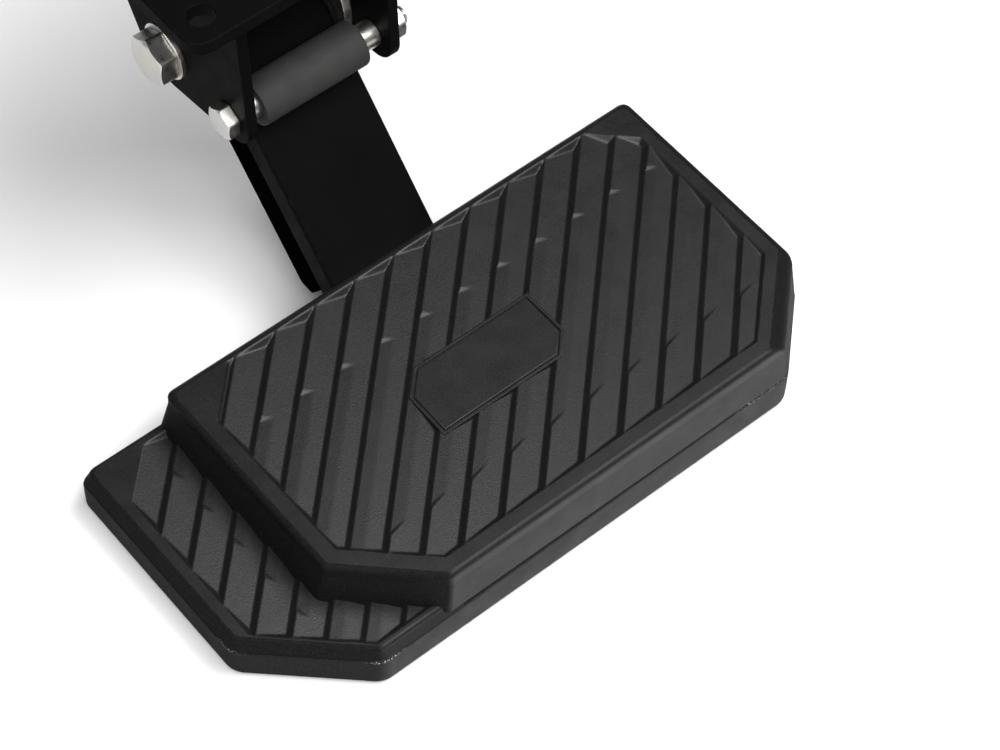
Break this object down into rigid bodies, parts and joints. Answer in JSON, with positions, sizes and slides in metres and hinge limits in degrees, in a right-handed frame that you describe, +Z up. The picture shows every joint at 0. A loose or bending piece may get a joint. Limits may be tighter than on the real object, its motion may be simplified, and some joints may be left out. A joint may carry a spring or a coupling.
{
  "type": "folding tailgate step",
  "caption": "Two-level ribbed tread on a steel arm that swings down from a frame bracket beside the bumper and locks with an index plunger.",
  "frame": {"origin": "centre of the bracket's flat mounting face, under the vehicle's frame rail", "axes": "+Z up out of the mounting face, +X along the tread towards its square end, -Y outboard towards the person stepping up"},
  "size_m": [0.3342, 0.3314, 0.2076],
  "materials": {
    "tread_plastic": "fine grained black moulding",
    "lip_plastic": "satin charcoal black moulding",
    "black_coat": "black powder coat on steel",
    "zinc_steel": "zinc plated steel",
    "bush_bronze": "sintered bronze",
    "stop_rubber": "matt black rubber",
    "washer_plastic": "filled acetal",
    "knob_plastic": "semi gloss black"
  },
  "bodies": {
    "arm": {"arm_foot_plate": "black_coat", "arm_lower_channel": "black_coat", "arm_upper_channel": "black_coat", "badge_plate": "tread_plastic", "cover_screw_1": "zinc_steel", "cover_screw_2": "zinc_steel", "cover_screw_3": "zinc_steel", "cover_screw_4": "zinc_steel", "foot_bolt_1": "zinc_steel", "foot_bolt_2": "zinc_steel", "foot_bolt_3": "zinc_steel", "foot_bolt_4": "zinc_steel", "foot_nut_1": "zinc_steel", "foot_nut_2": "zinc_steel", "foot_nut_3": "zinc_steel", "foot_nut_4": "zinc_steel", "index_disc": "zinc_steel", "pivot_bush_left": "bush_bronze", "pivot_bush_right": "bush_bronze", "pivot_hub": "black_coat", "tread_cover": "tread_plastic", "tread_frame": "lip_plastic"},
    "bracket": {"cheek_left": "black_coat", "cheek_right": "black_coat", "disc_spring_1": "zinc_steel", "disc_spring_2": "zinc_steel", "friction_washer_left": "washer_plastic", "friction_washer_right": "washer_plastic", "gusset_left": "black_coat", "gusset_right": "black_coat", "mount_plate": "black_coat", "pivot_bolt": "zinc_steel", "pivot_locknut": "zinc_steel", "pivot_washer_head": "zinc_steel", "pivot_washer_spring": "zinc_steel", "plunger_body": "zinc_steel", "plunger_nut": "zinc_steel", "stop_bolt_front": "zinc_steel", "stop_bolt_rear": "zinc_steel", "stop_nut_front": "zinc_steel", "stop_nut_rear": "zinc_steel", "stop_sleeve_front": "stop_rubber", "stop_sleeve_rear": "stop_rubber", "stop_spacer_front": "zinc_steel", "stop_spacer_rear": "zinc_steel"},
    "lock_pin": {"plunger_knob": "knob_plastic", "plunger_pin": "zinc_steel"}
  },
  "joints": [
    {"name": "arm_hinge", "type": "hinge", "parent": "bracket", "child": "arm", "pos_m": [0, 0.003, -0.078], "axis": [1, 0, 0], "range_deg": [0, 145]},
    {"name": "lock_pin_slide", "type": "slide", "parent": "bracket", "child": "lock_pin", "axis": [-1, 0, 0], "range_m": [0, 0.0065]}
  ]
}
